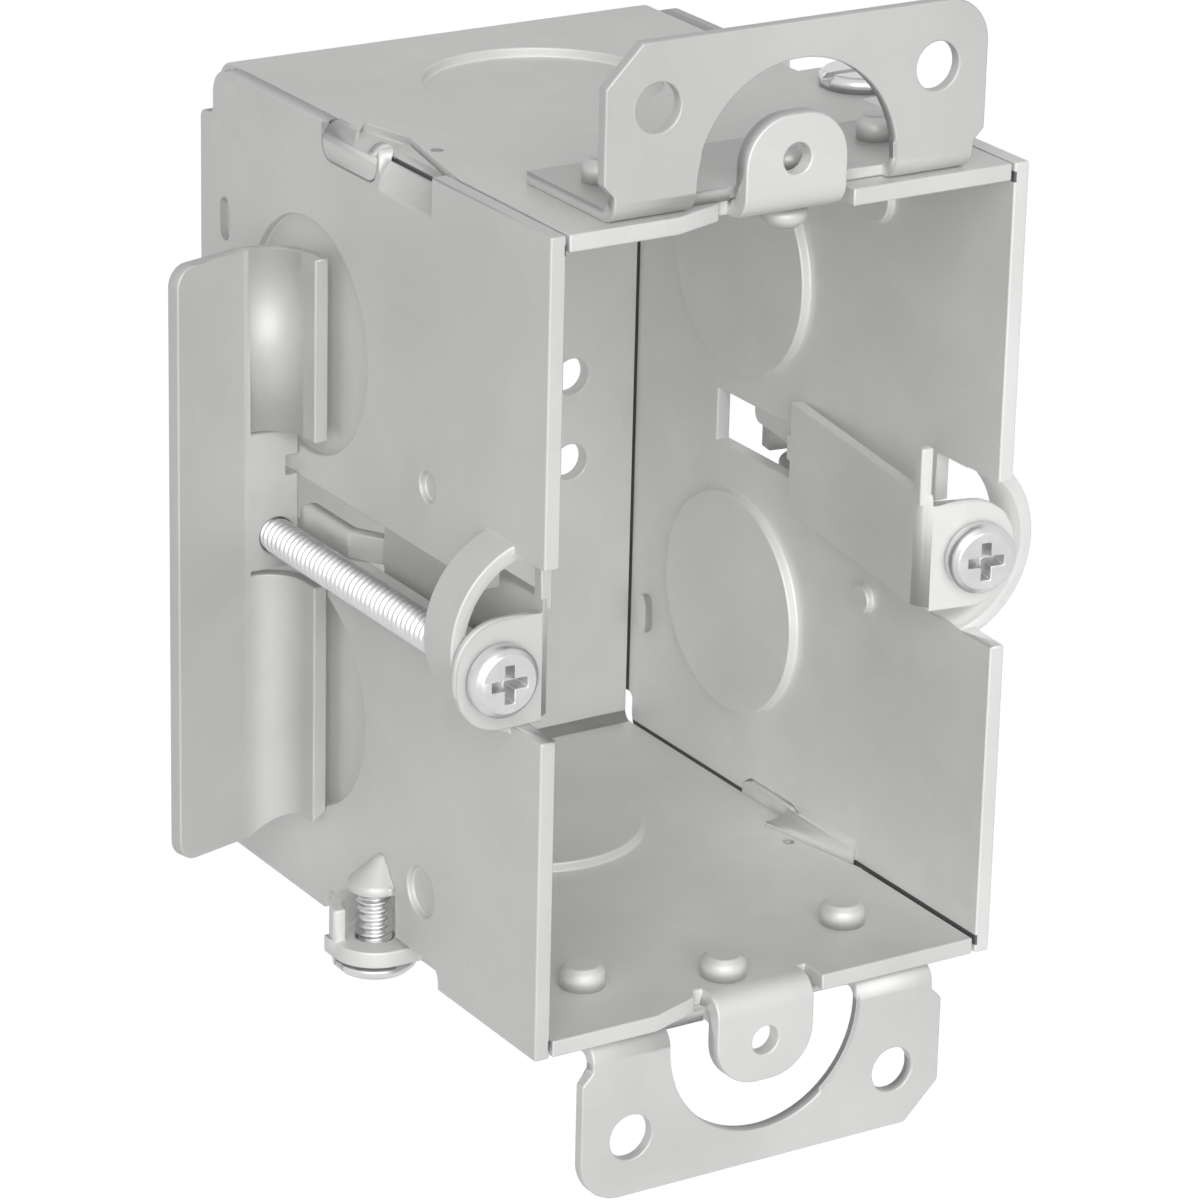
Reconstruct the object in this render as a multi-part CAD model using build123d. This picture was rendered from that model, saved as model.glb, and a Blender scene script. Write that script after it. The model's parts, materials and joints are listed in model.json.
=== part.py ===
"""Gangable old-work switch box with plaster ears and two screw-drawn side grips. Millimetres.

X is across the opening, Y runs from the open front into the wall and Z is up. The origin is
in the plane of the front edges, midway between the two device screw holes.
"""

import os

from build123d import *

# Box shell, one strip of sheet bent into a U, with a separate plate on each side
sheet = 1.6
height = 76.2
gang_pitch = 46.0
depth = 62.5
bend_inside = 1.0
seam_gap = 0.05

# Tapped tabs that carry the wiring device
device_hole_above = 3.55
device_hole = 2.8
tab_width = 10.4
tab_end = 4.0
tab_corner = 4.4
tab_bend_inside = 0.6
relief_width = 6.6
relief_depth = 1.7
relief_side = 0.8

# Knockouts, each still held by the part of the sheet that was not sheared
knockout_diameter = 22.2
knockout_from_front = 42.0
knockout_sink = 0.95
side_knockout_spacing = 34.6
shear_gap = 0.03

# Round holes in the back wall
back_hole_diameter = 3.6
back_hole_from_centre = 15.6
back_hole_spacing = 8.9
back_hole_offset = 3.25

# Corner notches of the side plates, where the strip bends round
corner_notch_depth = 2.4
corner_notch_height = 4.6
corner_notch_round = 0.9
corner_notch_inner_round = 0.7

# Pressed pips in the side plates
pip_height = 0.7
rest_pip_diameter = 2.8
rest_pip_from_front = 20.0
rest_pip_up = 9.6
back_pip_width = 1.8
back_pip_length = 4.2
back_pip_from_back = 4.7
back_pip_up = 24.0
gang_pip_diameter = 4.8
gang_pip_from_front = 20.4
gang_pip_above_edge = 8.5

# Hook that holds one end of each side plate under the strip
hook_start = 19.8
hook_end = 29.2
hook_lug_end = 31.2
hook_bend_outside = 3.4
hook_gap = 0.15
hook_sink = 0.5
notch_start = 18.0
notch_mid = 31.4
notch_depth = 2.9
notch_sink = 0.9
notch_sink_end = 37.7
notch_sink_depth = 1.6
finger_start = 29.6
finger_end = 39.2
finger_root = 32.3
finger_drop = 3.2
finger_corner = 1.5
finger_gap = 0.25
pin_hole_diameter = 1.2
pin_hole_from_front = 26.8
pin_hole_from_edge = 2.95

# Screw that holds the other end of each side plate
gang_from_front = 27.5
gang_standoff = 0.7
gang_screw_diameter = 3.4
gang_lug_radius = 4.2
gang_lug_back = 34.0
gang_lip_sheet = 1.2
gang_lip_height = 3.2
gang_notch_front = 17.2
gang_notch_back = 38.0
gang_notch_height = 2.1
gang_notch_corner = 1.4
gang_eye_radius = 2.5
gang_eye_height = 0.8
gang_eye_above_edge = 7.1
hood_length = 2.4
hood_top_radius = 0.4
gang_head_diameter = 7.8
gang_head_height = 1.4
gang_tip_above_eye = 0.1
gang_head_chamfer = 0.55
gang_slot_width = 1.1
gang_slot_depth = 0.8

# Opening, bridge and slot in each side plate for the grip
bridge_centre_up = 0.3
bridge_front = 5.0
bridge_back = 9.8
bridge_radius = 9.3
bridge_sheet = 1.3
bridge_axis_in = 3.1
mouth_half_height = 7.95
slot_end = 46.2
slot_low = -2.0
slot_high = 3.3

# Grip screw
grip_screw_diameter = 3.4
grip_screw_end = 48.0
grip_standoff = 2.3
grip_head_diameter = 6.6
grip_head_height = 2.15
grip_head_chamfer = 0.75
recess_width = 1.0
recess_span = 3.6
recess_depth = 1.5
recess_taper = 12
screw_tip_chamfer = 0.4
running_gap = 0.05

# Grip arm, the inner strip whose front tab bears on the bridge
arm_sheet = 1.2
arm_gap = 0.6
arm_low = 4.6
arm_high = 6.2
arm_back = 31.5
arm_bend_outside = 1.6
tab_gap = 0.1
grip_tab_half_height = 5.1
grip_tab_outreach = 4.0
prong_width = 1.6
prong_high = 10.6
prong_set_back = 0.4
grip_tab_round = 4.5
tail_low = -0.25
tail_high = 2.8
tail_jog_end = 34.5
tail_end = 43.6
tail_proud = 0.2
tail_round = 1.05
tail_jog_shift = 0.6

# Grip wing, the plate that is drawn up behind the wall board
wing_sheet = 1.4
wing_back = 44.8
wing_lean = 15
wing_reach = 12.9
wing_high = 27.9
wing_foot_low = 26.0
wing_low = 29.8
wing_bend_outside = 5.0
foot_front = 37.9
foot_gap = 0.05
nut_low = 3.1
nut_high = 10.1
nut_slit = 0.4
nut_notch_low = 5.7
nut_notch_high = 7.6
nut_notch_depth = 1.3
wing_corner = 2.0

# Where the two loose grips stand
left_grip_up = -2.2
right_grip_up = 0.3
right_grip_lean = 8.5
right_grip_out = 0.55

# Plaster ears
ear_sheet = 1.2
ear_width = 39.0
ear_rise = 15.7
ear_chamfer = 3.6
ear_corner = 4.2
ear_bend_inside = 0.8
ear_neck_inset = 1.1
ear_foot_back = 14.5
ear_neck_end = 2.6
ear_hole_diameter = 4.4
ear_hole_from_side = 5.25
ear_hole_above = 9.9
ear_cut_radius = 10.3
ear_cut_above = 2.1
ear_foot_play = 0.2

# Rivets that hold the ears
rivet_shank = 2.6
rivet_from_front = 9.0
rivet_from_side = 5.3
middle_rivet_across = 1.8
middle_rivet_from_front = 4.6
rivet_head = 3.4
rivet_head_height = 2.2
rivet_tail = 4.2
rivet_tail_height = 2.2
rivet_chamfer = 0.7

# Values that follow from the sizes above
half_height = height / 2
half_strip = gang_pitch / 2
device_spacing = height + 2 * device_hole_above
plate_face = half_strip + sheet
bend_outside = bend_inside + sheet
ear_foot_width = ear_width - 2 * ear_neck_inset
ear_hole_across = ear_width - 2 * ear_hole_from_side
ear_hole_spacing = height + 2 * ear_hole_above
ear_cut_centre = half_height + ear_cut_above
ear_end = half_height + ear_rise
rivet_across = ear_width - 2 * rivet_from_side
gang_eye_top = half_height - gang_eye_above_edge
tab_top = device_spacing / 2 + tab_end
tab_bend_outside = tab_bend_inside + sheet
grip_x = plate_face + grip_standoff
gang_x = plate_face + gang_standoff
arm_outer = half_strip - arm_gap
arm_inner = arm_outer - arm_sheet
tab_back = bridge_front - tab_gap
tab_front = tab_back - arm_sheet
grip_head_back = tab_front - running_gap
wing_inner = plate_face + foot_gap
wing_front = wing_back - wing_sheet
bridge_axis = plate_face - bridge_axis_in
hook_top = half_height - hook_sink
lug_top = half_height - sheet
lean_pivot = (half_strip, arm_back)


def box(x0, x1, y0, y1, z0, z1):
    """Box between two corners."""
    size = Box(abs(x1 - x0), abs(y1 - y0), abs(z1 - z0))
    return Pos((x0 + x1) / 2, (y0 + y1) / 2, (z0 + z1) / 2) * size


def face_front(sketch, y_front, thickness):
    """Plate parallel to the front, from a sketch in X and Z."""
    return extrude(Plane.XZ.offset(-(y_front + thickness)) * sketch, thickness)


def face_side(sketch, x_start, thickness):
    """Plate parallel to the sides, from a sketch in Y and Z."""
    return extrude(Plane.YZ.offset(x_start) * sketch, thickness)


def face_top(sketch, z_start, thickness):
    """Plate parallel to the top, from a sketch in X and Y."""
    return extrude(Plane.XY.offset(z_start) * sketch, thickness)


def polygon(points):
    """Face from corner points."""
    return make_face(Polyline(*points, close=True))


def rod(radius, start, end, axis):
    """Round bar along one axis between two places on it, centred elsewhere by Pos."""
    bar = Cylinder(radius, abs(end - start), align=(Align.CENTER, Align.CENTER, Align.MIN))
    low = min(start, end)
    if axis == "x":
        return Pos(low, 0, 0) * Rot(0, 90, 0) * bar
    if axis == "y":
        return Pos(0, low, 0) * Rot(-90, 0, 0) * bar
    return Pos(0, 0, low) * bar


def half_turn(shape):
    """The same feature on the opposite side and end: half a turn about Y."""
    return Rot(0, 180, 0) * shape


def upside_down(shape):
    """The same feature at the bottom."""
    return mirror(shape, about=Plane.XY)


def other_side(shape):
    """The same piece, handed, on the right."""
    return mirror(shape, about=Plane.YZ)


def knockouts():
    """Pockets to cut outside and discs to add inside, for the strip's three knockouts."""
    radius = knockout_diameter / 2
    pockets = []
    discs = []
    for turn in (0, 180):
        pocket = rod(radius, half_height - knockout_sink, half_height + 1, "z")
        disc = rod(radius - shear_gap, lug_top - knockout_sink, lug_top, "z")
        place = Rot(0, turn, 0) * Pos(0, knockout_from_front, 0)
        pockets.append(place * pocket)
        discs.append(place * disc)
    back_inside = depth - sheet
    pockets.append(rod(radius, depth - knockout_sink, depth + 1, "y"))
    discs.append(rod(radius - shear_gap, back_inside - knockout_sink, back_inside, "y"))
    return pockets, discs


def device_tab():
    """Tab bent up from the front edge of the top wall, tapped for the device screw."""
    half = tab_width / 2
    bend_z = half_height + tab_bend_inside
    ring = Pos(tab_bend_outside, bend_z) * (Circle(tab_bend_outside) - Circle(tab_bend_inside))
    quarter = Pos(tab_bend_outside / 2, bend_z - tab_bend_outside / 2) * Rectangle(
        tab_bend_outside, tab_bend_outside
    )
    bend = face_side(ring & quarter, -half, tab_width)
    blade = Pos(0, (bend_z + tab_top) / 2) * Rectangle(tab_width, tab_top - bend_z)
    blade = fillet(blade.vertices().group_by(Axis.Y)[-1], tab_corner)
    hole = Pos(0, device_spacing / 2) * Circle(device_hole / 2)
    return bend + face_front(blade - hole, 0, sheet)


def tab_clearance():
    """Sheet that goes from the top wall's front edge for the tab and its reliefs."""
    half = tab_width / 2
    outline = polygon(
        [
            (-half - relief_width, -1),
            (-half - relief_width, 0),
            (-half - relief_side * 2, relief_depth),
            (-half - relief_side, tab_bend_outside + relief_side),
            (-half, tab_bend_outside + relief_side),
            (-half, tab_bend_outside),
            (half, tab_bend_outside),
            (half, tab_bend_outside + relief_side),
            (half + relief_side, tab_bend_outside + relief_side),
            (half + relief_side, -1),
        ]
    )
    return face_top(outline, lug_top - 1, sheet + 2)


def hook_notch():
    """Opening in the top wall's left edge over the side plate's hook, sunk in front of the finger."""
    edge = -half_strip - 1
    notch = [
        (edge, notch_start - 4),
        (-half_strip, notch_start),
        (-half_strip + notch_depth, notch_mid),
        (edge, notch_mid),
    ]
    sunk = [
        (-half_strip + notch_depth, notch_mid),
        (-half_strip + notch_sink_depth, notch_sink_end),
        (-plate_face - 1, finger_root),
        (-plate_face - 1, notch_mid),
    ]
    through = face_top(polygon(notch), lug_top - 1, sheet + 2)
    return through, face_top(polygon(sunk), half_height - notch_sink, notch_sink + 1)


def hook_finger():
    """Finger of the strip, bent down into a notch of the side plate's upper edge."""
    corner = Pos(-half_strip, lug_top) * Circle(sheet)
    corner = corner & (Pos(-half_strip - sheet / 2, lug_top + sheet / 2) * Rectangle(sheet, sheet))
    down = Pos(-half_strip - sheet / 2, lug_top - (finger_drop - sheet) / 2) * Rectangle(
        sheet, finger_drop - sheet
    )
    finger = face_front(corner + down, finger_start, finger_end - finger_start)
    low = finger.edges().filter_by(Axis.X).group_by(Axis.Z)[0]
    return fillet(low, finger_corner)


def gang_lug():
    """Lug of the bottom wall that reaches out under the left plate, with a lip behind the screw."""
    axis = (-gang_x, gang_from_front)
    front = gang_from_front - gang_lug_radius
    plate = box(
        -gang_x, -half_strip, front, gang_lug_back, -half_height, -lug_top
    )
    plate += Pos(*axis, 0) * rod(gang_lug_radius, -half_height, -lug_top, "z")
    plate += box(
        -gang_x - gang_lug_radius, -gang_x, gang_from_front, gang_from_front + gang_lug_radius / 2,
        -half_height, -lug_top,
    )
    ring = Circle(gang_lug_radius) - Circle(gang_lug_radius - gang_lip_sheet)
    sector = Pos(-gang_lug_radius / 2, gang_lug_radius / 2) * Rectangle(
        gang_lug_radius, gang_lug_radius
    )
    lip = face_top(Pos(*axis) * (ring & sector), -lug_top, gang_lip_height)
    plate += lip - box(
        -half_strip - sheet - 2 * seam_gap, 0, 0, depth, -lug_top, 0
    )
    hole = rod(gang_screw_diameter / 2 + 2 * running_gap, -half_height - 1, -lug_top + 1, "z")
    return plate - Pos(*axis, 0) * hole


def box_strip():
    """Top, back and bottom walls in one bent strip, with its tabs, lugs and fingers."""
    outer = Pos(depth / 2, 0) * Rectangle(depth, height)
    outer = fillet(outer.vertices().group_by(Axis.X)[-1], bend_outside)
    inner = Pos((depth - sheet) / 2 - 0.5, 0) * Rectangle(depth - sheet + 1, height - 2 * sheet)
    inner = fillet(inner.vertices().group_by(Axis.X)[-1], bend_inside)
    strip = face_side(outer - inner, -half_strip, gang_pitch)

    pockets, discs = knockouts()
    for pocket in pockets:
        strip -= pocket
    for disc in discs:
        strip += disc
    for side in (-1, 1):
        for step in (-1, 1):
            z = -side * back_hole_offset + step * back_hole_spacing / 2
            hole = rod(back_hole_diameter / 2, depth - 3, depth + 1, "y")
            strip -= Pos(side * back_hole_from_centre, 0, z) * hole
    for flip in (lambda shape: shape, upside_down):
        strip -= flip(tab_clearance())
        strip += flip(device_tab())
    pin_hole = Pos(-half_strip + pin_hole_from_edge, pin_hole_from_front, 0) * rod(
        pin_hole_diameter / 2, lug_top - 1, half_height + 1, "z"
    )
    for turn in (lambda shape: shape, half_turn):
        through, sunk = hook_notch()
        strip -= turn(through)
        strip -= turn(pin_hole)
        strip += turn(hook_finger())
        strip -= turn(sunk)
        strip += turn(gang_lug())
    rivet_hole = rod(rivet_shank / 2, lug_top - 1, half_height + 1, "z")
    for rivet_x, rivet_y in rivet_places():
        strip -= Pos(rivet_x, rivet_y, 0) * rivet_hole
        strip -= half_turn(Pos(rivet_x, rivet_y, 0) * rivet_hole)
    return strip


def pip(sketch, y, z):
    """Cut and raised parts of a pip pressed into the left plate from outside."""
    at = Pos(y, z) * sketch
    cut = face_side(at, -plate_face - 1, 1 + pip_height)
    inner = Pos(y, z) * offset(sketch, -shear_gap)
    raised = face_side(inner, -half_strip - seam_gap, seam_gap + pip_height)
    return cut, raised


def plate_outline():
    """Outline of a side plate, notched at both rear corners where the strip bends round."""
    back = depth - corner_notch_depth
    shoulder = half_height - corner_notch_height
    outline = Pos(back / 2, 0) * Rectangle(back, height)
    outline = fillet(outline.vertices().group_by(Axis.X)[-1], bend_outside)
    middle = Pos(depth - corner_notch_depth, 0) * Rectangle(2 * corner_notch_depth, 2 * shoulder)
    middle = fillet(middle.vertices().group_by(Axis.X)[-1], corner_notch_round)
    outline += middle
    inner = [
        corner for corner in outline.vertices()
        if abs(corner.X - back) < 0.01 and abs(abs(corner.Y) - shoulder) < 0.01
    ]
    return fillet(inner, corner_notch_inner_round)


def side_plate(hand):
    """Left plate with its bridge and slot; hand is 1 where hook and screw are as on the left."""
    plate = face_side(plate_outline(), -plate_face, sheet - seam_gap)

    radius = knockout_diameter / 2
    for end in (-1, 1):
        place = Pos(0, knockout_from_front, end * side_knockout_spacing / 2)
        plate -= place * rod(radius, -plate_face - 1, -plate_face + knockout_sink, "x")
        inside = -half_strip - seam_gap
        plate += place * rod(radius - shear_gap, inside, -half_strip + knockout_sink, "x")

    # Mouth at the front edge, bridge over it and slot behind it
    low = bridge_centre_up - mouth_half_height
    high = bridge_centre_up + mouth_half_height
    mouth = box(-plate_face - 1, -half_strip + 1, -1, bridge_front, low, high)
    plate -= mouth
    bridge_at = Pos(-bridge_axis, 0, bridge_centre_up)
    inner_radius = bridge_radius - bridge_sheet
    plate -= bridge_at * rod(inner_radius, bridge_front - 0.5, bridge_back, "y")
    arch = rod(bridge_radius, bridge_front, bridge_back, "y") - rod(
        inner_radius, bridge_front - 1, bridge_back + 1, "y"
    )
    reach = bridge_radius + 1
    keep = box(-plate_face - reach, -half_strip - seam_gap, 0, depth, -reach, reach)
    plate += (bridge_at * arch) & keep
    plate -= box(-plate_face - 1, -half_strip + 1, bridge_back - 1, slot_end, slot_low, slot_high)

    turned = (lambda shape: shape) if hand > 0 else upside_down
    plate -= turned(hook_clearance())
    plate += turned(plate_hook())
    plate -= turned(gang_opening())
    plate += turned(gang_eye())
    gang_bore = rod(
        gang_screw_diameter / 2 + running_gap, -half_height,
        -gang_eye_top + gang_tip_above_eye + running_gap, "z",
    )
    plate -= turned(Pos(-gang_x, gang_from_front, 0) * gang_bore)
    pips = [
        (Circle(rest_pip_diameter / 2), rest_pip_from_front, rest_pip_up),
        (SlotOverall(back_pip_length, back_pip_width, rotation=90), depth - back_pip_from_back, back_pip_up),
        (Circle(gang_pip_diameter / 2), gang_pip_from_front, gang_pip_above_edge - half_height),
    ]
    for sketch, y, z in pips:
        cut, raised = pip(sketch, y, z)
        plate -= turned(cut)
        plate += turned(raised)
    return plate


def hook_clearance():
    """Upper edge of the left plate that is lowered for the hook and for the finger."""
    low = hook_top - hook_bend_outside
    hook_part = box(
        -plate_face - 1, -half_strip + 1, hook_start, hook_end, low, half_height + 1
    )
    finger = box(
        -plate_face - 1, -half_strip + 1,
        finger_start - finger_gap, finger_end + finger_gap,
        half_height - finger_drop - finger_gap, half_height + 5,
    )
    low_edges = finger.edges().filter_by(Axis.X).group_by(Axis.Z)[0]
    return hook_part + fillet(low_edges, finger_corner + finger_gap)


def plate_hook():
    """Hook bent inwards from the left plate, into the notch of the top wall."""
    outer = hook_bend_outside
    centre_x = -plate_face + outer
    centre_z = hook_top - outer
    thickness = sheet - seam_gap
    ring = Pos(centre_x, centre_z) * (Circle(outer) - Circle(outer - thickness))
    bend = ring & (Pos(centre_x - outer / 2, centre_z + outer / 2) * Rectangle(outer, outer))
    flat = Pos(centre_x + notch_depth / 2, hook_top - thickness / 2) * Rectangle(
        notch_depth, thickness
    )
    hook = face_front(bend + flat, hook_start, hook_lug_end - hook_start)
    hook -= box(
        -plate_face - 1, -half_strip + hook_gap, hook_end, depth, 0, half_height + 1
    )
    beyond = polygon(
        [
            (-half_strip - hook_gap, notch_start),
            (-half_strip + notch_depth - hook_gap, notch_mid),
            (half_strip, notch_mid),
            (half_strip, notch_start),
        ]
    )
    return hook - face_top(beyond, 0, height)


def gang_opening():
    """Notch in the left plate's lower edge, round the lug and the screw."""
    notch = box(
        -plate_face - 1, -half_strip + 1, gang_notch_front, gang_notch_back,
        -half_height - 5, -half_height + gang_notch_height,
    )
    high_edges = notch.edges().filter_by(Axis.X).group_by(Axis.Z)[-1]
    notch = fillet(high_edges, gang_notch_corner)
    throat = box(
        -plate_face - 1, -half_strip + 1,
        gang_from_front - gang_eye_radius, gang_from_front + gang_eye_radius,
        -half_height, -gang_eye_top - gang_eye_height,
    )
    return notch + throat


def gang_eye():
    """Tapped eye drawn out of the left plate, with the hood that tapers into the plate above."""
    top = -gang_eye_top
    eye = Pos(-gang_x, gang_from_front, 0) * rod(gang_eye_radius, top - gang_eye_height, top, "z")
    eye &= box(-gang_x - depth, -half_strip - seam_gap, 0, depth, -half_height, 0)
    eye += box(
        -gang_x, -half_strip - seam_gap,
        gang_from_front - gang_eye_radius, gang_from_front + gang_eye_radius,
        top - gang_eye_height, top,
    )
    low = Plane.XY.offset(top) * Pos(-gang_x, gang_from_front) * Circle(gang_eye_radius)
    high = Plane.XY.offset(top + hood_length) * Pos(-plate_face, gang_from_front) * Circle(
        hood_top_radius
    )
    hood = loft([low, high])
    outside = box(
        -gang_x - gang_eye_radius - 1, -plate_face + sheet / 2, 0, depth, top - 1, 0
    )
    return eye + (hood & outside)


def gang_screw():
    """Left screw of the side plate: head below the lug, tip above the eye."""
    radius = gang_screw_diameter / 2
    head_top = -half_height - running_gap
    shank = rod(radius, head_top, -gang_eye_top + gang_tip_above_eye, "z")
    shank = chamfer(shank.edges().group_by(Axis.Z)[-1], screw_tip_chamfer)
    head = rod(gang_head_diameter / 2, head_top - gang_head_height, head_top, "z")
    head = chamfer(head.edges().group_by(Axis.Z)[0], gang_head_chamfer)
    bottom = head_top - gang_head_height
    slot = box(
        -gang_head_diameter, gang_head_diameter, -gang_slot_width / 2, gang_slot_width / 2,
        bottom - 1, bottom + gang_slot_depth,
    )
    return Pos(-gang_x, gang_from_front, 0) * (head + shank - slot)


def cross_recess(front):
    """Cross recess in a screw head, tapering towards its bottom."""
    arms = Rectangle(recess_span, recess_width) + Rectangle(recess_width, recess_span)
    start = Plane.XZ.offset(-front)
    return extrude(start * arms, -recess_depth, taper=recess_taper)


def grip_screw():
    """Long screw of the left grip, on its own axis."""
    radius = grip_screw_diameter / 2
    front = grip_head_back - grip_head_height
    head = rod(grip_head_diameter / 2, front, grip_head_back, "y")
    head = chamfer(head.edges().group_by(Axis.Y)[0], grip_head_chamfer)
    shank = rod(radius, grip_head_back, grip_screw_end, "y")
    shank = chamfer(shank.edges().group_by(Axis.Y)[-1], screw_tip_chamfer)
    return Pos(-grip_x, 0, 0) * (head + shank - cross_recess(front))


def grip_arm():
    """Inner strip of the left grip: front tab, prong, arm and tail in the slot."""
    corner = polygon(
        [
            (-arm_inner, arm_back),
            (-arm_inner, tab_front),
            (-arm_outer - 1, tab_front),
            (-arm_outer - 1, tab_back),
            (-arm_outer, tab_back),
            (-arm_outer, arm_back),
        ]
    )
    outside = corner.vertices().sort_by(lambda v: v.X * -1 + v.Y)[0]
    corner = fillet(outside, arm_bend_outside)
    arm = face_top(corner, -arm_low, arm_low + arm_high)
    arm -= box(
        -arm_outer - 2, -arm_outer, 0, tab_back + 1, grip_tab_half_height, arm_high + 1
    )
    arm -= box(
        -arm_outer - 2, -arm_outer, 0, tab_back + 1, -arm_low - 1, -grip_tab_half_height
    )
    arm += box(
        -arm_outer, -arm_inner, tab_front + prong_set_back, tab_front + prong_width,
        arm_high - 1, prong_high,
    )

    end = grip_x + grip_tab_outreach
    tab = Pos(-(arm_outer + end) / 2, 0) * Rectangle(end - arm_outer, 2 * grip_tab_half_height)
    tab = fillet(tab.vertices().group_by(Axis.X)[0], grip_tab_round)
    tab -= Pos(-grip_x, 0) * Circle(grip_screw_diameter / 2 + running_gap)
    arm += face_front(tab, tab_front, arm_sheet)

    tail_out = plate_face - tail_proud
    tail = polygon(
        [
            (-arm_inner, arm_back - 1),
            (-arm_outer, arm_back - 1),
            (-arm_outer, arm_back),
            (-tail_out, tail_jog_end),
            (-tail_out, tail_end),
            (-tail_out + arm_sheet, tail_end),
            (-tail_out + arm_sheet, tail_jog_end + tail_jog_shift),
            (-arm_inner, arm_back + tail_jog_shift),
        ]
    )
    tail = face_top(tail, -tail_low, tail_low + tail_high)
    rounded = tail.edges().filter_by(Axis.X).group_by(Axis.Y)[-1]
    arm += fillet(rounded, tail_round)
    return arm


def grip_wing():
    """Plate drawn up behind the wall board, with two bent feet and a tapped nut part."""
    bend_x = -wing_inner - wing_bend_outside
    bend_y = wing_back - wing_bend_outside
    free = -plate_face - wing_reach
    ring = Circle(wing_bend_outside) - Circle(wing_bend_outside - wing_sheet)
    quarter = Pos(wing_bend_outside / 2, wing_bend_outside / 2) * Rectangle(
        wing_bend_outside, wing_bend_outside
    )
    bend = Pos(bend_x, bend_y) * (ring & quarter)
    foot = Pos(-wing_inner - wing_sheet / 2, (foot_front + bend_y) / 2) * Rectangle(
        wing_sheet, bend_y - foot_front
    )
    profile = bend + foot
    low_foot = face_top(profile, -wing_low, wing_low - nut_low - nut_slit)
    high_foot = face_top(profile, nut_high + nut_slit, wing_high - nut_high - nut_slit)
    cut_corner = polygon(
        [
            (bend_x, -wing_low),
            (-wing_inner, -wing_foot_low),
            (-wing_inner, -wing_low - 1),
            (bend_x, -wing_low - 1),
        ]
    )
    low_foot -= face_front(cut_corner, 0, depth)

    # The blade leans forwards from the bend to its free edge
    blade = Pos((free + bend_x) / 2, (wing_high - wing_low) / 2) * Rectangle(
        bend_x - free, wing_high + wing_low
    )
    blade = fillet(blade.vertices().group_by(Axis.X)[0], wing_corner)
    blade = face_front(blade, wing_front, wing_sheet)
    turn = Pos(bend_x, bend_y, 0) * Rot(0, 0, wing_lean) * Pos(-bend_x, -bend_y, 0)
    edge = Rot(0, 0, wing_lean) * Pos(0, 2 * wing_bend_outside, 0)
    sector = polygon([(0, 0), (0, 2 * wing_bend_outside), (edge.position.X, edge.position.Y)])
    crest = face_top(Pos(bend_x, bend_y) * (ring & sector), -wing_low, wing_low + wing_high)

    nut = Pos((bend_x - wing_inner) / 2, (nut_high - nut_low) / 2) * Rectangle(
        -wing_inner - bend_x, nut_high + nut_low
    )
    nut -= Pos(-grip_x, 0) * Circle(grip_screw_diameter / 2 + running_gap)
    nut -= Pos(-wing_inner, (nut_notch_low + nut_notch_high) / 2) * Rectangle(
        2 * nut_notch_depth, nut_notch_high - nut_notch_low
    )
    return turn * blade + crest + face_front(nut, wing_front, wing_sheet) + low_foot + high_foot


def rivet_places():
    """Where the three rivets of the top ear go, as X and distance behind the front."""
    return [
        (-rivet_across / 2, rivet_from_front),
        (rivet_across / 2, rivet_from_front),
        (middle_rivet_across, middle_rivet_from_front),
    ]


def ear():
    """Top plaster ear: an angle with a U cut round the device tab, left corner cut, right rounded."""
    outer = ear_bend_inside + ear_sheet
    centre_y = outer
    centre_z = half_height + outer
    ring = Pos(centre_y, centre_z) * (Circle(outer) - Circle(ear_bend_inside))
    bend = ring & (Pos(centre_y - outer / 2, centre_z - outer / 2) * Rectangle(outer, outer))
    foot = Pos((centre_y + ear_foot_back) / 2, half_height + ear_sheet / 2) * Rectangle(
        ear_foot_back - centre_y, ear_sheet
    )
    angle = face_side(bend + foot, -ear_foot_width / 2, ear_foot_width)

    neck_top = half_height + ear_neck_end
    half = ear_width / 2
    neck_half = ear_foot_width / 2
    blade = polygon(
        [
            (-neck_half, centre_z),
            (-neck_half, neck_top),
            (-half, neck_top + half - neck_half),
            (-half, ear_end),
            (half, ear_end),
            (half, neck_top + half - neck_half),
            (neck_half, neck_top),
            (neck_half, centre_z),
        ]
    )
    blade = chamfer(blade.vertices().group_by(Axis.Y)[-1].sort_by(Axis.X)[0], ear_chamfer)
    blade = fillet(blade.vertices().group_by(Axis.Y)[-1].sort_by(Axis.X)[-1], ear_corner)
    for side in (-1, 1):
        blade -= Pos(side * ear_hole_across / 2, ear_hole_spacing / 2) * Circle(ear_hole_diameter / 2)
    blade -= Pos(0, ear_cut_centre) * Circle(ear_cut_radius)
    shape = angle + face_front(blade, 0, ear_sheet)
    shape -= box(
        -ear_cut_radius, ear_cut_radius, -1, ear_sheet + ear_bend_inside + ear_foot_play,
        half_height - 1, ear_cut_centre,
    )
    tab_half = tab_width / 2 + ear_foot_play
    shape -= box(
        -tab_half, tab_half, -1, tab_bend_outside + ear_foot_play,
        half_height - 1, ear_cut_centre,
    )
    for rivet_x, rivet_y in rivet_places():
        shape -= Pos(rivet_x, rivet_y, 0) * rod(rivet_shank / 2, half_height - 1, half_height + 4, "z")
    return shape


def ear_rivet():
    """Rivet of the top ear, on its own axis: small head outside, formed tail inside."""
    top = half_height + ear_sheet
    shank = rod(rivet_shank / 2, lug_top, top, "z")
    head = rod(rivet_head / 2, top, top + rivet_head_height, "z")
    head = chamfer(head.edges().group_by(Axis.Z)[-1], rivet_chamfer)
    tail = rod(rivet_tail / 2, lug_top - rivet_tail_height, lug_top, "z")
    tail = chamfer(tail.edges().group_by(Axis.Z)[0], rivet_chamfer)
    return head + shank + tail


def place_left(piece):
    """A left grip piece at its height."""
    return Pos(0, 0, left_grip_up) * piece


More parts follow.
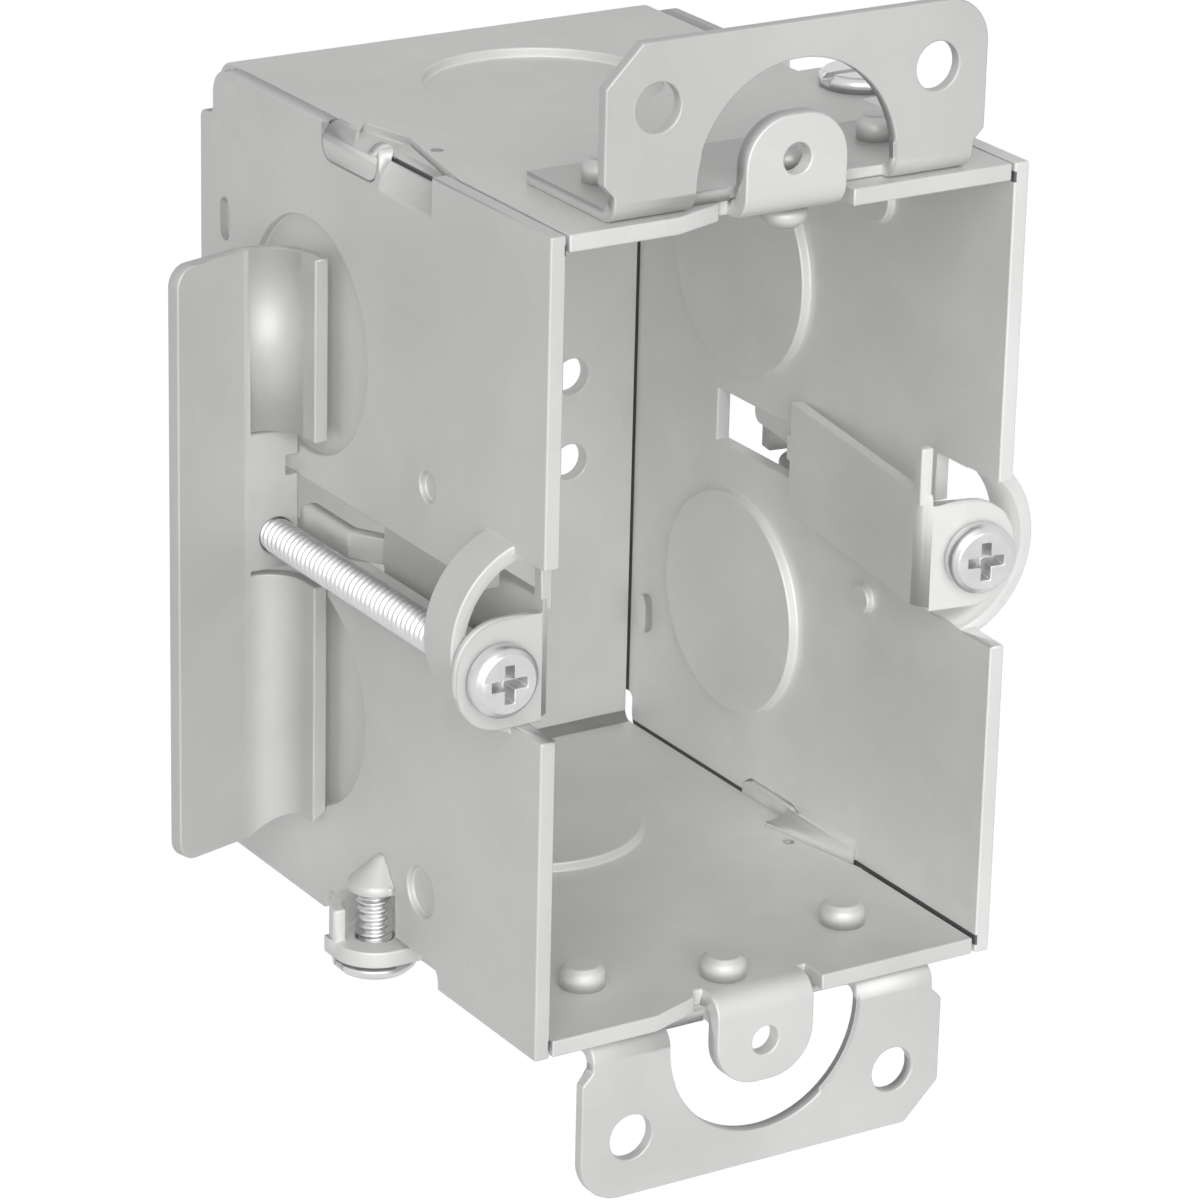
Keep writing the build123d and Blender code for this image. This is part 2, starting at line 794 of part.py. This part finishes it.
def place_right(piece):
    """A right grip piece, which leans into the opening about the arm's inner end."""
    seated = Pos(right_grip_out, 0, right_grip_up) * other_side(piece)
    pivot_x, pivot_y = lean_pivot
    lean = Pos(pivot_x, pivot_y, 0) * Rot(0, 0, -right_grip_lean) * Pos(-pivot_x, -pivot_y, 0)
    return lean * seated


def pieces():
    """Every piece of the box by name."""
    made = {"box_strip": box_strip()}
    made["side_plate_left"] = side_plate(1)
    made["side_plate_right"] = other_side(side_plate(-1))
    made["gang_screw_left"] = gang_screw()
    made["gang_screw_right"] = half_turn(gang_screw())
    for name, shape in (("arm", grip_arm()), ("wing", grip_wing()), ("screw", grip_screw())):
        made[f"grip_{name}_left"] = place_left(shape)
        made[f"grip_{name}_right"] = place_right(shape)
    made["ear_top"] = ear()
    made["ear_bottom"] = half_turn(ear())
    turned_to = {"left": "right", "right": "left", "middle": "middle"}
    for (place, opposite), (x, y) in zip(turned_to.items(), rivet_places()):
        rivet = Pos(x, y, 0) * ear_rivet()
        made[f"rivet_top_{place}"] = rivet
        made[f"rivet_bottom_{opposite}"] = half_turn(rivet)
    return made


os.makedirs("parts", exist_ok=True)
for name, shape in pieces().items():
    export_step(shape, f"parts/{name}.step")
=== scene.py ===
"""Looks of the gangable switch box: finish of the sheet steel, real threads, camera and light."""

import json
import math

import bmesh
import bpy
from mathutils import Matrix, Vector

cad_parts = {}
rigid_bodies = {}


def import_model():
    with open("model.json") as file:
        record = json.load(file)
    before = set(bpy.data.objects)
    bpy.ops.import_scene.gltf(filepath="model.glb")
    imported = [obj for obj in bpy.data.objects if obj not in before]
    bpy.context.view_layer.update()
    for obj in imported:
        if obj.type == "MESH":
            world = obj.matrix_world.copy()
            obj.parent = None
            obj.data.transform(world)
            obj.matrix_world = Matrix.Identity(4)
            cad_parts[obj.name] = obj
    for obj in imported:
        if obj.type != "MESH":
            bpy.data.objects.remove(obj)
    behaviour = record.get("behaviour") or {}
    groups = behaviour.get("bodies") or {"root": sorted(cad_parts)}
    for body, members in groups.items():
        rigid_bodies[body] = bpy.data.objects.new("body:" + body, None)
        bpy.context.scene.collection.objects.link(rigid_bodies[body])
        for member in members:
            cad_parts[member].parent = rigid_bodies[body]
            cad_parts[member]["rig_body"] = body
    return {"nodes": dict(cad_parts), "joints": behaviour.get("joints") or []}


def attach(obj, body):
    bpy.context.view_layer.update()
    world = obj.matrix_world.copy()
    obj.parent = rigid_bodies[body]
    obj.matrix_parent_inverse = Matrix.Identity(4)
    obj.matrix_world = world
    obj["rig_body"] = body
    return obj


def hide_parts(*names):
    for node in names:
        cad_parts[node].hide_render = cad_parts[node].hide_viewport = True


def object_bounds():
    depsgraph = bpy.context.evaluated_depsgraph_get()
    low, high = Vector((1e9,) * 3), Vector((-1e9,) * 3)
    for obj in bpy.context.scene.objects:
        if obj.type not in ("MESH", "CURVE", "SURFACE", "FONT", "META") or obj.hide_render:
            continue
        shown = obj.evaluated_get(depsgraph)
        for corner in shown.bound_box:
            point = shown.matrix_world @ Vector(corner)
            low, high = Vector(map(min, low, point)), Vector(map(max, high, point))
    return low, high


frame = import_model()
cad_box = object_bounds()
nodes = frame["nodes"]

MM = 0.001
WHITE = (1, 1, 1, 1)

# Camera, fitted to the corners of the box in the photograph, with its focal length in pixels of it
CAMERA_PLACE = Vector((-253.372, -372.341, 174.437)) * MM
CAMERA_RIGHT = Vector((0.85059, -0.52535, 0.02241))
CAMERA_UP = Vector((0.17137, 0.31724, 0.93273))
FOCAL_PIXELS = 5477.41
PHOTO_WIDTH = 1200
SENSOR_WIDTH = 36.0
CLIP_NEAR = 0.01
CLIP_FAR = 50

# Soft square lamp at the front, in metres and watts, and the strength of the even light all round
LAMP_DIRECTION = Vector((-0.40, -0.83, 0.39))
LAMP_DISTANCE = 0.9
LAMP_SIZE = 0.9
LAMP_POWER = 6.9
AMBIENT = 0.12

# Floor under the lower ear: its size in metres, its paint, and the shade and glow that show instead
FLOOR_DROP = 0.6 * MM
FLOOR_SIZE = 6.0
FLOOR_PAINT = 0.8
FLOOR_SHADE = 0.15
FLOOR_GLOW = 0.98

# Textures of the zinc, with their scales per metre, and the stretches of them that the ramps use
CRYSTALS = {"Scale": 260.0, "Randomness": 1.0}
CLOUDS = {"Scale": 42.0, "Detail": 2.0, "Roughness": 0.55}
GRAIN = {"Scale": 1500.0, "Detail": 1.0, "Roughness": 0.6}
STAINS = {"Scale": 600.0, "Detail": 3.0, "Roughness": 0.6}
WHOLE_STRETCH = (0.0, 1.0)
WIDE_STRETCH = (0.25, 0.75)
MIDDLE_STRETCH = (0.3, 0.7)

# Coating of the sheets: the darkest and lightest shares of its tone, its roughness and its grain
CLOUD_SHARES = (0.94, 1.06)
CRYSTAL_SHARES = (0.94, 1.05)
CRYSTAL_STRENGTH = 0.3
ZINC_TINT = (1.0, 0.997, 0.985, 1)
COAT_ROUGHNESS = (0.46, 0.58)
COAT_METALLIC = 0.3
GRAIN_STRENGTH = 0.10
GRAIN_HEIGHT = 0.06 * MM
GRAIN_STEP = (0.11, 0.07, 0.05)

# Plating of the screws
PLATING_TONE = 0.66
PLATING_ROUGHNESS = (0.28, 0.38)
PLATING_METALLIC = 0.9

# Cleaning of a CAD mesh: how close corners are one corner, and how even faces are one face
SAME_CORNER = 0.002 * MM
FLAT_ANGLE = math.radians(0.2)

# Rounding of the sheared edges, only where the sheet round an edge is wide enough for it
EDGE_ROUND = 0.2 * MM
ROUND_STEPS = 3
EDGE_ANGLE = math.radians(32)
LARGE_FACE_WEIGHT = 100

# Edges that stay sharp: beside faces that are narrower than the room, short edges or needle faces
EDGE_ROOM = 0.45 * MM
ROOM_SHARE = 0.9
SHORT_SHARE = 0.8
NEEDLE = 0.06 * MM

# Outline of a face once it is drawn in: a turn that counts as straight, and the share to be kept
STRAIGHT_TURN = 0.03
KEPT_SHARE = 0.1

# Seams where the strip's long edges stand just clear of the side plates, with painted shade that
# darkens them
STRIP_EDGE = 23.0 * MM
STRIP_EDGE_SLACK = 0.02 * MM
SEAM_GAP = 0.25 * MM
PAINTED_SEAM_SHADE = 0.16

# Bands of painted shade on the inner faces of the side plates along the seams: middle and half width
SEAM_FACE = (23.05 * MM, 0.2 * MM)
SEAM_LEVEL = (36.8 * MM, 0.5 * MM)
SEAM_BACK = (61.25 * MM, 0.45 * MM)

# Threads of the screws, inside the plain shanks of the frame: rings a turn and steps round a ring
THREAD_PITCH = 25.4 / 32 * MM
THREAD_DEPTH = 0.34 * MM
THREAD_SUNK = 0.1 * MM
THREAD_STEPS = 40
THREAD_RINGS = 12
TIP_TAPER = 0.9 * MM

# Heads of the screws and rivets: shares of a shank's radius beyond which the head and its rims lie
HEAD_SHARE = 1.2
RIM_SHARE = 1.35
CUT_GAP = 0.01 * MM
HEAD_ROUND = 0.5 * MM
RECESS_SHARE = 0.2
RIVET_ROUND = 0.6 * MM

# Sheet pieces: the label of each one's finish, and the tone of its zinc, set per piece as painted light
# and shade: lightest on the right plate and arm, seen in shade inside the box, darker on the ears and
# wings
SHEETS = {
    "box_strip": ("strip", 0.80),
    "side_plate_left": ("plate_left", 0.74),
    "side_plate_right": ("plate_right", 0.88),
    "ear_top": ("ear_upper", 0.64),
    "ear_bottom": ("ear_lower", 0.74),
    "grip_arm_left": ("arm_left", 0.72),
    "grip_arm_right": ("arm_right", 0.86),
    "grip_wing_left": ("wing_left", 0.62),
    "grip_wing_right": ("wing_right", 0.62),
}
RIVET_TONE = 0.78

# Screws: the joint whose axis each one turns on, and 1 where that axis points from head to tip
SCREWS = {
    "grip_screw_left": ("left_grip_turn", 1),
    "grip_screw_right": ("right_grip_turn", 1),
    "gang_screw_left": ("plate_screw_left_turn", -1),
    "gang_screw_right": ("plate_screw_right_turn", -1),
}


def grey(level):
    """Neutral colour of one brightness."""
    return (level, level, level, 1)


def cleared_tree(block, output_kind):
    """Empties the node tree of a material or world; returns it and its new output's surface socket."""
    block.use_nodes = True
    tree = block.node_tree
    tree.nodes.clear()
    return tree, tree.nodes.new(output_kind).inputs["Surface"]


def new_material(name):
    """Node material with a Principled shader; returns it with its tree and shader."""
    material = bpy.data.materials.new(name)
    tree, surface = cleared_tree(material, "ShaderNodeOutputMaterial")
    shader = tree.nodes.new("ShaderNodeBsdfPrincipled")
    tree.links.new(shader.outputs["BSDF"], surface)
    return material, tree, shader


def plug(tree, value, socket):
    """Links an input to another node's output, or else sets it to a fixed value."""
    if isinstance(value, bpy.types.NodeSocket):
        tree.links.new(value, socket)
    else:
        socket.default_value = value


def node(tree, kind, **settings):
    """Adds a shader node and fills its inputs by name, or its properties where it has no such input."""
    made = tree.nodes.new(kind)
    for key, value in settings.items():
        if key in made.inputs:
            plug(tree, value, made.inputs[key])
        else:
            setattr(made, key, value)
    return made


def computed(tree, operation, *values):
    """Math node over sources or numbers."""
    made = node(tree, "ShaderNodeMath", operation=operation)
    for value, socket in zip(values, made.inputs):
        plug(tree, value, socket)
    return made.outputs[0]


def ramp(tree, source, stretch, levels):
    """Colour ramp that spreads a stretch of a source over two brightness levels."""
    made = node(tree, "ShaderNodeValToRGB", Fac=source)
    for element, place, level in zip(made.color_ramp.elements, stretch, levels):
        element.position = place
        element.color = grey(level)
    return made.outputs["Color"]


def multiplied(tree, first, second, strength=1.0):
    """The first colour multiplied by the second, in full or by a lower strength."""
    made = node(
        tree, "ShaderNodeMix", data_type="RGBA", blend_type="MULTIPLY",
        Factor=strength, A=first, B=second,
    )
    return made.outputs["Result"]


def chosen(tree, choice, usual, special):
    """Shader that is the special one where the choice is 1, and the usual one where it is 0."""
    made = node(tree, "ShaderNodeMixShader", Fac=choice)
    tree.links.new(usual.outputs[0], made.inputs[1])
    tree.links.new(special.outputs[0], made.inputs[2])
    return made.outputs[0]


def within(tree, source, band):
    """1 where the size of a number lies in a band, given as its middle and half width, else 0."""
    return computed(tree, "COMPARE", computed(tree, "ABSOLUTE", source), *band)


def painted_seam_shade_mask(tree, spot):
    """1 on the narrow bands of a side plate's inner face seen in the seams, where shade is painted."""
    split = node(tree, "ShaderNodeSeparateXYZ", Vector=spot)
    inner = within(tree, split.outputs["X"], SEAM_FACE)
    level = within(tree, split.outputs["Z"], SEAM_LEVEL)
    behind = within(tree, split.outputs["Y"], SEAM_BACK)
    return computed(tree, "MULTIPLY", inner, computed(tree, "MAXIMUM", level, behind))


def galvanised(name, tone, grain_shift=(0, 0, 0), seams=False):
    """Satin zinc coating: faint crystal mottling and clouds, and painted shade in a side plate's seams.
    """
    material, tree, shader = new_material(name)
    place = node(tree, "ShaderNodeTexCoord").outputs["Object"]
    spot = node(tree, "ShaderNodeMapping", Vector=place, Location=grain_shift).outputs["Vector"]
    crystal = node(tree, "ShaderNodeTexVoronoi", Vector=spot, **CRYSTALS).outputs["Color"]
    cloud = node(tree, "ShaderNodeTexNoise", Vector=spot, **CLOUDS).outputs["Fac"]
    grain = node(tree, "ShaderNodeTexNoise", Vector=spot, **GRAIN).outputs["Fac"]

    clouds = ramp(tree, cloud, MIDDLE_STRETCH, [tone * share for share in CLOUD_SHARES])
    crystals = ramp(tree, crystal, WHOLE_STRETCH, CRYSTAL_SHARES)
    colour = multiplied(tree, clouds, crystals, CRYSTAL_STRENGTH)
    colour = multiplied(tree, colour, ZINC_TINT)
    # Painted shade: darkens the bands of a side plate's inner face that show in the seams
    if seams:
        colour = multiplied(tree, colour, grey(PAINTED_SEAM_SHADE), painted_seam_shade_mask(tree, place))
    plug(tree, colour, shader.inputs["Base Color"])
    plug(tree, ramp(tree, cloud, WIDE_STRETCH, COAT_ROUGHNESS), shader.inputs["Roughness"])
    shader.inputs["Metallic"].default_value = COAT_METALLIC

    bump = node(
        tree, "ShaderNodeBump", Strength=GRAIN_STRENGTH, Distance=GRAIN_HEIGHT, Height=grain
    )
    plug(tree, bump.outputs["Normal"], shader.inputs["Normal"])
    return material


def bright_zinc(name):
    """Bright zinc plating of the screws, slightly uneven."""
    material, tree, shader = new_material(name)
    place = node(tree, "ShaderNodeTexCoord").outputs["Object"]
    stain = node(tree, "ShaderNodeTexNoise", Vector=place, **STAINS).outputs["Fac"]
    stains = ramp(tree, stain, MIDDLE_STRETCH, [PLATING_TONE * share for share in CLOUD_SHARES])
    plug(tree, stains, shader.inputs["Base Color"])
    plug(tree, ramp(tree, stain, MIDDLE_STRETCH, PLATING_ROUGHNESS), shader.inputs["Roughness"])
    shader.inputs["Metallic"].default_value = PLATING_METALLIC
    return material


def merged(mesh):
    """The mesh of a CAD node as one skin with whole flat faces, ready to be rounded."""
    work = bmesh.new()
    work.from_mesh(mesh)
    bmesh.ops.remove_doubles(work, verts=work.verts, dist=SAME_CORNER)
    bmesh.ops.dissolve_limit(
        work, angle_limit=FLAT_ANGLE, verts=work.verts, edges=work.edges
    )
    return work


def has_room(edge):
    """True where the faces and the edges beside this edge leave room for its rounding."""
    for face in edge.link_faces:
        if face.calc_area() < EDGE_ROOM * edge.calc_length() * ROOM_SHARE:
            return False
    for corner in edge.verts:
        for beside in corner.link_edges:
            if beside is not edge and beside.calc_length() < SHORT_SHARE * EDGE_ROUND:
                return False
        for face in corner.link_faces:
            if face.calc_area() < NEEDLE * max(side.calc_length() for side in face.edges):
                return False
    return True


def crowded_edges(face, layer, width):
    """Rounded edges of a face beside a stretch of outline that their rounding would turn back."""
    sides = []
    for loop in face.loops:
        along = loop.link_loop_next.vert.co - loop.vert.co
        length = along.length
        along.normalize()
        inward = face.normal.cross(along) * width * loop.edge[layer]
        sides.append((loop.vert.co + inward, along, length, loop.edge))
    corners = []
    for (spot_before, before, _, _), (spot, along, _, _) in zip(sides[-1:] + sides[:-1], sides):
        turn = before.cross(along).dot(face.normal)
        if abs(turn) < STRAIGHT_TURN:
            corners.append(spot)
        else:
            reach = (spot - spot_before).cross(along).dot(face.normal) / turn
            corners.append(spot_before + before * reach)
    crowded = set()
    for place, (_, along, length, _) in enumerate(sides):
        left = (corners[(place + 1) % len(sides)] - corners[place]).dot(along)
        if left < KEPT_SHARE * length:
            crowded.update(sides[(place + step) % len(sides)][3] for step in (-1, 0, 1))
    return {edge for edge in crowded if edge[layer] > 0}


def round_edges(work, name, width, share=lambda edge: 1.0):
    """Makes an object of a mesh, with its sharp edges rounded, each by its share of the width."""
    layer = work.edges.layers.float.new("bevel_weight_edge")
    for edge in work.edges:
        sharp = len(edge.link_faces) == 2 and edge.calc_face_angle() > EDGE_ANGLE
        if sharp and has_room(edge):
            edge[layer] = share(edge)
    crowded = True
    while crowded:
        crowded = set()
        for face in work.faces:
            crowded |= crowded_edges(face, layer, width)
        for edge in crowded:
            edge[layer] = 0.0
    mesh = bpy.data.meshes.new(name)
    work.to_mesh(mesh)
    work.free()
    mesh.shade_smooth()
    piece = bpy.data.objects.new(name, mesh)
    bpy.context.scene.collection.objects.link(piece)
    bevel = piece.modifiers.new("edges", "BEVEL")
    bevel.width = width
    bevel.segments = ROUND_STEPS
    bevel.limit_method = "WEIGHT"
    bevel.use_clamp_overlap = False
    bevel.harden_normals = False
    normals = piece.modifiers.new("normals", "WEIGHTED_NORMAL")
    normals.keep_sharp = True
    normals.weight = LARGE_FACE_WEIGHT
    bpy.context.view_layer.update()
    solid = bpy.data.meshes.new_from_object(
        piece.evaluated_get(bpy.context.evaluated_depsgraph_get())
    )
    piece.modifiers.clear()
    piece.data = solid
    return piece


def stand_in(piece, name, material):
    """Lets a finished piece take the place of a CAD node, on the body of that node."""
    piece.data.materials.clear()
    piece.data.materials.append(material)
    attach(piece, nodes[name]["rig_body"])
    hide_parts(name)


def open_seams(work):
    """Draws the long edges of the strip back from the side plates, as the sheared sheet stands."""
    for vert in work.verts:
        if abs(abs(vert.co.x) - STRIP_EDGE) < STRIP_EDGE_SLACK:
            vert.co.x -= math.copysign(SEAM_GAP, vert.co.x)


def rounded_copy(name, piece_name, material, width=EDGE_ROUND):
    """Stands for a CAD node with the same form and softly rounded edges."""
    work = merged(nodes[name].data)
    if name == "box_strip":
        open_seams(work)
    stand_in(round_edges(work, piece_name, width), name, material)


def thread_radius(place, angle, tip, crest):
    """Radius of a screw thread at a place along its axis and an angle round it."""
    phase = (place / THREAD_PITCH - angle / math.tau) % 1.0
    height = (1 - math.cos(math.tau * phase)) / 2
    taper = max(0.0, place - (tip - TIP_TAPER)) / TIP_TAPER
    return min(crest - THREAD_DEPTH * height, crest - THREAD_DEPTH * taper)


def add_thread(work, origin, turn, start, tip, crest):
    """Adds a closed threaded shank to a mesh, along the turned Z axis through the origin."""
    count = max(2, round((tip - start) / THREAD_PITCH * THREAD_RINGS))
    rings = []
    for ring in range(count + 1):
        place = start + (tip - start) * ring / count
        corners = []
        for step in range(THREAD_STEPS):
            angle = math.tau * step / THREAD_STEPS
            radius = thread_radius(place, angle, tip, crest)
            local = Vector((radius * math.cos(angle), radius * math.sin(angle), place))
            corners.append(work.verts.new(origin + turn @ local))
        rings.append(corners)
    for low, high in zip(rings, rings[1:]):
        for step in range(THREAD_STEPS):
            beside = (step + 1) % THREAD_STEPS
            work.faces.new((low[step], low[beside], high[beside], high[step]))
    work.faces.new(list(reversed(rings[0])))
    work.faces.new(rings[-1])


def screw_axis(name):
    """Origin and direction of a screw's axis, from its head to its tip."""
    joint_name, sense = SCREWS[name]
    joint = next(joint for joint in frame["joints"] if joint["name"] == joint_name)
    return Vector(joint["pos_m"]), Vector(joint["axis"]).normalized() * sense


def cut_shank(work, origin, along):
    """Cuts the plain shank off a screw; returns its radius and where the head and the tip end."""
    places = [(vert.co - origin).dot(along) for vert in work.verts]
    offsets = [(vert.co - origin - along * place).length for vert, place in zip(work.verts, places)]
    tip = max(places)
    radius = max(offset for offset, place in zip(offsets, places) if place > tip - 2 * TIP_TAPER)
    head = max(place for offset, place in zip(offsets, places) if offset > radius * HEAD_SHARE)
    cut = bmesh.ops.bisect_plane(
        work, geom=work.verts[:] + work.edges[:] + work.faces[:],
        plane_co=origin + along * (head + CUT_GAP), plane_no=along, clear_outer=True,
    )
    rim = [item for item in cut["geom_cut"] if isinstance(item, bmesh.types.BMEdge)]
    bmesh.ops.edgeloop_fill(work, edges=rim)
    return radius, head, tip


def real_screw(name, piece_name, material):
    """Stands for a CAD screw: its head with rounded rims, and a real thread in place of the shank."""
    origin, along = screw_axis(name)
    work = merged(nodes[name].data)
    radius, head, tip = cut_shank(work, origin, along)

    def share(edge):
        middle = (edge.verts[0].co + edge.verts[1].co) / 2 - origin
        off_axis = (middle - along * middle.dot(along)).length
        return 1.0 if off_axis > radius * RIM_SHARE else RECESS_SHARE

    piece = round_edges(work, piece_name, HEAD_ROUND, share)
    work = bmesh.new()
    work.from_mesh(piece.data)
    turn = along.to_track_quat("Z", "Y").to_matrix()
    add_thread(work, origin, turn, head - THREAD_SUNK, tip, radius)
    work.to_mesh(piece.data)
    work.free()
    piece.data.shade_smooth()
    stand_in(piece, name, material)


def build_camera():
    """Camera at the photograph's place, with its principal point at the image centre."""
    data = bpy.data.cameras.new("camera")
    data.sensor_width = SENSOR_WIDTH
    data.lens = FOCAL_PIXELS / PHOTO_WIDTH * SENSOR_WIDTH
    data.clip_start = CLIP_NEAR
    data.clip_end = CLIP_FAR
    camera = bpy.data.objects.new("camera", data)
    back = CAMERA_RIGHT.cross(CAMERA_UP).normalized()
    turn = Matrix((CAMERA_RIGHT.normalized(), CAMERA_UP.normalized(), back)).transposed()
    camera.matrix_world = Matrix.Translation(CAMERA_PLACE) @ turn.to_4x4()
    bpy.context.scene.collection.objects.link(camera)
    bpy.context.scene.camera = camera


def build_lamp():
    """Square soft lamp that looks at the middle of the box from the front."""
    data = bpy.data.lights.new("front", "AREA")
    data.shape = "SQUARE"
    data.size = LAMP_SIZE
    data.energy = LAMP_POWER
    lamp = bpy.data.objects.new("front", data)
    middle = (Vector(cad_box[0]) + Vector(cad_box[1])) / 2
    away = LAMP_DIRECTION.normalized()
    lamp.location = middle + away * LAMP_DISTANCE
    lamp.rotation_euler = (-away).to_track_quat("-Z", "Y").to_euler()
    bpy.context.scene.collection.objects.link(lamp)


def build_world():
    """White surroundings for what the camera and the metal see, softer light for the rest."""
    world = bpy.data.worlds.new("studio")
    tree, surface = cleared_tree(world, "ShaderNodeOutputWorld")
    path = tree.nodes.new("ShaderNodeLightPath")
    straight = computed(
        tree, "MAXIMUM", path.outputs["Is Camera Ray"], path.outputs["Is Transmission Ray"]
    )
    seen = computed(tree, "MAXIMUM", straight, path.outputs["Is Glossy Ray"])
    white = node(tree, "ShaderNodeBackground", Color=WHITE, Strength=1.0)
    soft = node(tree, "ShaderNodeBackground", Color=WHITE, Strength=AMBIENT)
    tree.links.new(chosen(tree, seen, soft, white), surface)
    bpy.context.scene.world = world


def floor_finish():
    """Pale paint for the light that the floor throws back, and a near white ground with the object's
    shadow for what the camera and the metal see."""
    material = bpy.data.materials.new("floor")
    tree, surface = cleared_tree(material, "ShaderNodeOutputMaterial")
    paint = node(tree, "ShaderNodeBsdfDiffuse", Color=grey(FLOOR_PAINT))
    shade = node(tree, "ShaderNodeBsdfDiffuse", Color=grey(FLOOR_SHADE))
    glow = node(tree, "ShaderNodeEmission", Color=WHITE, Strength=FLOOR_GLOW)
    path = tree.nodes.new("ShaderNodeLightPath")
    seen = computed(tree, "MAXIMUM", path.outputs["Is Camera Ray"], path.outputs["Is Glossy Ray"])
    lit = tree.nodes.new("ShaderNodeAddShader")
    tree.links.new(shade.outputs[0], lit.inputs[0])
    tree.links.new(glow.outputs[0], lit.inputs[1])
    tree.links.new(chosen(tree, seen, paint, lit), surface)
    return material


def build_floor():
    """Pale floor just under the object, which keeps the object's shadow."""
    mesh = bpy.data.meshes.new("floor")
    half = FLOOR_SIZE / 2
    z = cad_box[0][2] - FLOOR_DROP
    corners = [(-half, -half, z), (half, -half, z), (half, half, z), (-half, half, z)]
    mesh.from_pydata(corners, [], [(0, 1, 2, 3)])
    mesh.materials.append(floor_finish())
    floor = bpy.data.objects.new("floor", mesh)
    bpy.context.scene.collection.objects.link(floor)


bpy.context.scene.view_settings.view_transform = "Standard"
build_camera()
build_world()
build_floor()

zinc = bright_zinc("bright_zinc")
for place, (name, (label, tone)) in enumerate(SHEETS.items()):
    shift = [step * place for step in GRAIN_STEP]
    steel = galvanised(f"galvanised_{label}", tone, shift, seams=name.startswith("side_plate"))
    rounded_copy(name, label + "_steel", steel)
rivet_steel = galvanised("galvanised_rivets", RIVET_TONE)
for name in nodes:
    if name.startswith("rivet_"):
        rounded_copy(name, name + "_steel", rivet_steel, RIVET_ROUND)
for name in SCREWS:
    real_screw(name, name + "_zinc", zinc)
build_lamp()
